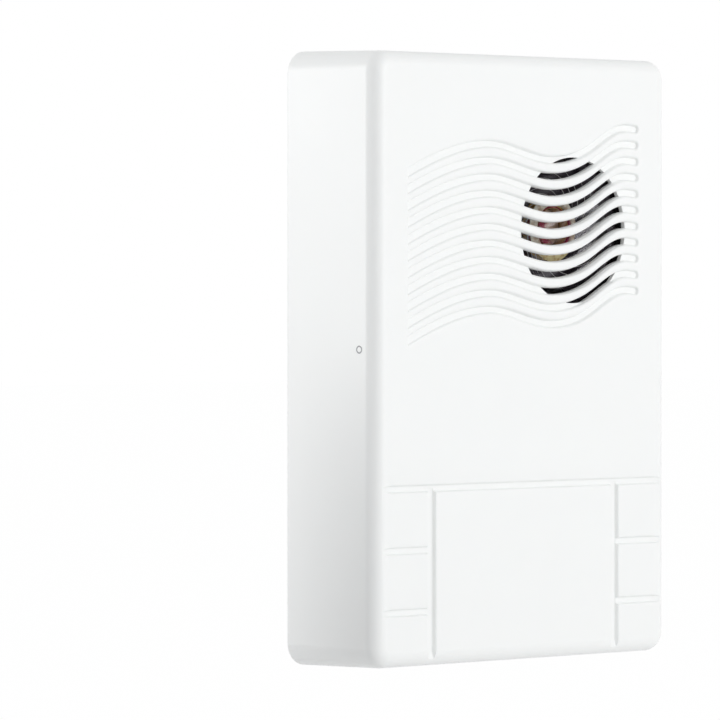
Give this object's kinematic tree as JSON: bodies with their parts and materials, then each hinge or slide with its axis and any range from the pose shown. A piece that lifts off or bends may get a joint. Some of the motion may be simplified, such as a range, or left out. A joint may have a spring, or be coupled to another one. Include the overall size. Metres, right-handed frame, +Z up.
{
  "type": "doorbell chime box",
  "caption": "Wall-hung battery chime box: drafted white cover with a wave grille over a round speaker, on a base plate with a battery bay, circuit board and bell wire terminals.",
  "frame": {"origin": "centre of the face that lies on the wall, midway across and up the box", "axes": "+X to the right and +Z up as seen from the front, +Y into the wall; the front faces -Y"},
  "size_m": [0.0924, 0.0283, 0.1362],
  "materials": {
    "cover_plastic": "satin moulded",
    "plate_plastic": "satin moulded",
    "black_rubber": "matt moulded",
    "cell_steel": "nickel plated",
    "cell_jacket": "printed shrink sleeve, plain",
    "white_card": "matt",
    "nickel_spring": "nickel plated",
    "board_laminate": "pressed laminate",
    "plated_screw": "zinc plated",
    "black_resin": "cast drop",
    "can_sleeve": "shrink sleeve",
    "disc_lacquer": "dipped lacquer",
    "transistor_resin": "moulded",
    "resistor_lacquer": "lacquered",
    "diode_glass": "clear bead",
    "tinned_wire": "tinned",
    "solder": "bright solder",
    "terminal_plastic": "moulded",
    "terminal_brass": "plated",
    "basket_paint": "black dip",
    "gasket_foam": "open foam",
    "clear_film": "drawn film",
    "red_enamel_wire": "enamelled winding",
    "former_film": "amber film",
    "cream_cement": "dried cement",
    "pole_steel": "zinc plated",
    "ferrite": "pressed ferrite",
    "yoke_zinc": "yellow zinc plated",
    "tag_laminate": "pressed laminate",
    "red_insulation": "extruded",
    "black_insulation": "extruded",
    "copper_tinsel": "braided"
  },
  "bodies": {
    "base": {"base_plate": "plate_plastic", "cable_grommet": "black_rubber", "cell_cans": "cell_steel", "cell_jackets": "cell_jacket", "cell_washers": "white_card", "battery_springs": "nickel_spring", "negative_tab": "nickel_spring", "positive_tab": "nickel_spring", "series_contact": "nickel_spring", "circuit_board": "board_laminate", "board_screws": "plated_screw", "melody_chip": "black_resin", "electrolytic_cans": "can_sleeve", "disc_capacitors": "disc_lacquer", "transistor": "transistor_resin", "resistors": "resistor_lacquer", "diode": "diode_glass", "component_legs": "tinned_wire", "solder_joints": "solder", "terminal_block": "terminal_plastic", "terminal_clamps": "terminal_brass", "terminal_screws": "plated_screw", "speaker_basket": "basket_paint", "speaker_gasket": "gasket_foam", "speaker_surround": "clear_film", "pole_plate": "pole_steel", "speaker_magnet": "ferrite", "yoke_cup": "yoke_zinc", "tag_board": "tag_laminate", "speaker_tags": "tinned_wire", "tinsel_leads": "copper_tinsel", "speaker_screws": "plated_screw", "speaker_washers": "plated_screw", "battery_lead_black": "black_insulation", "battery_lead_red": "red_insulation", "speaker_lead_red": "red_insulation", "speaker_lead_black": "black_insulation", "lead_solder": "solder"},
    "cover": {"front_cover": "cover_plastic"},
    "cone": {"speaker_cone": "clear_film", "voice_coil": "red_enamel_wire", "coil_former": "former_film", "cone_glue": "cream_cement"}
  },
  "joints": [
    {"name": "cover_slide", "type": "slide", "parent": "base", "child": "cover", "axis": [0, -1, 0], "range_m": [0, 0.05]},
    {"name": "cone_travel", "type": "slide", "parent": "base", "child": "cone", "axis": [0, -1, 0], "range_m": [-0.0003, 0.0003], "stiffness_N_per_m": 100, "deforming": ["speaker_surround", "tinsel_leads"]}
  ]
}
